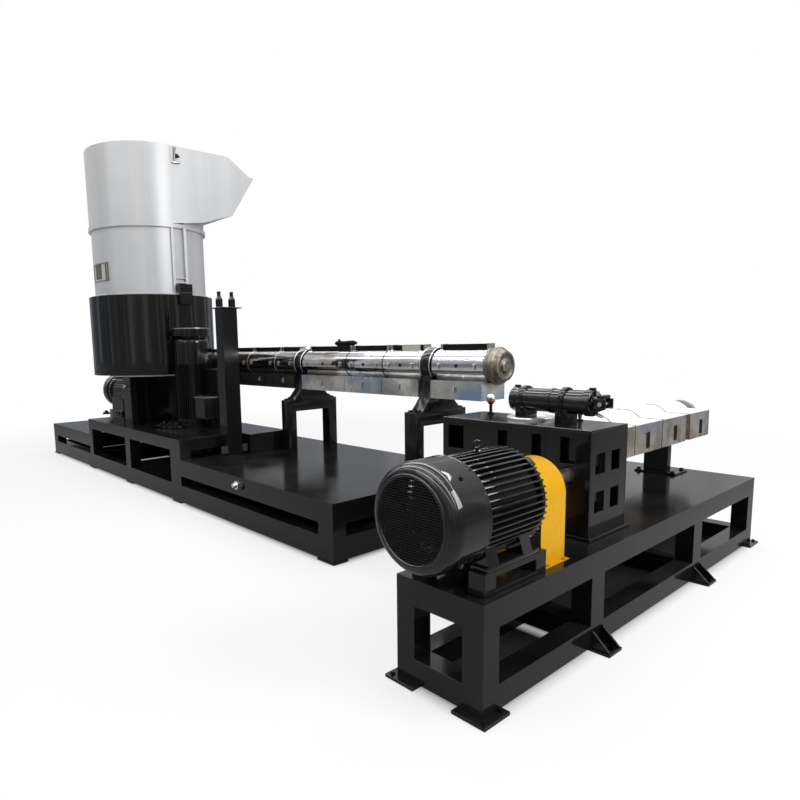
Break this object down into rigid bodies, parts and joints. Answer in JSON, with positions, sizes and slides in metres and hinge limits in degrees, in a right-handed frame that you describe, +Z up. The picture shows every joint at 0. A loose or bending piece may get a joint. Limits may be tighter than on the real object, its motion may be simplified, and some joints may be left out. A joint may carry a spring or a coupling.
{
  "type": "plastic extruder",
  "caption": "Two-stage plastic recycling extruder: cutter-compactor drum with feed chute, long covered barrel on legs, then a second base with motor, gear stand and barrel.",
  "frame": {"origin": "middle of the floor rectangle that the whole plant stands in", "axes": "+X along the first barrel towards its discharge end, +Y along the second barrel away from its motor, +Z up"},
  "size_m": [9.422, 3.98, 4.19],
  "materials": {
    "black_paint": "glossy enamel",
    "drum_grey": "satin paint",
    "polished_steel": "mirror polished stainless sheet",
    "bare_steel": "turned steel",
    "guard_yellow": "glossy enamel"
  },
  "bodies": {
    "root": {"barrel1": "bare_steel", "barrel1_bands": "bare_steel", "barrel1_covers": "polished_steel", "barrel1_legs": "black_paint", "barrel1_lower_boxes": "polished_steel", "barrel1_vent_strips": "black_paint", "barrel2": "bare_steel", "barrel2_covers": "polished_steel", "barrel2_support": "black_paint", "base1_cross_rails": "black_paint", "base1_decks": "black_paint", "base1_long_rails": "black_paint", "base1_pads": "black_paint", "base1_posts": "black_paint", "base1_step_box": "black_paint", "base2_cross_rails": "black_paint", "base2_deck": "black_paint", "base2_feet": "black_paint", "base2_long_rails": "black_paint", "base2_posts": "black_paint", "belt_guard": "black_paint", "chute_floor": "drum_grey", "column": "black_paint", "column_fittings": "black_paint", "coupling_guard": "guard_yellow", "coupling_shaft": "bare_steel", "drive_motor": "black_paint", "drive_motor_plinth": "black_paint", "drum_floor": "bare_steel", "drum_jacket": "black_paint", "drum_motor": "black_paint", "drum_motor_cowl": "black_paint", "drum_motor_slide": "black_paint", "drum_pedestal": "black_paint", "drum_rails": "drum_grey", "drum_ring": "drum_grey", "drum_shell": "drum_grey", "feed_housing": "black_paint", "gearbox1": "black_paint", "gearbox2": "black_paint", "hood_lid": "drum_grey", "hood_shell": "drum_grey", "motor2_body": "black_paint", "motor2_cowl": "black_paint", "motor2_frame": "black_paint", "motor2_grille": "black_paint", "ram": "black_paint", "ram_blocks": "black_paint", "stand_base": "black_paint", "stand_top": "black_paint", "stand_walls": "black_paint"}
  },
  "joints": []
}
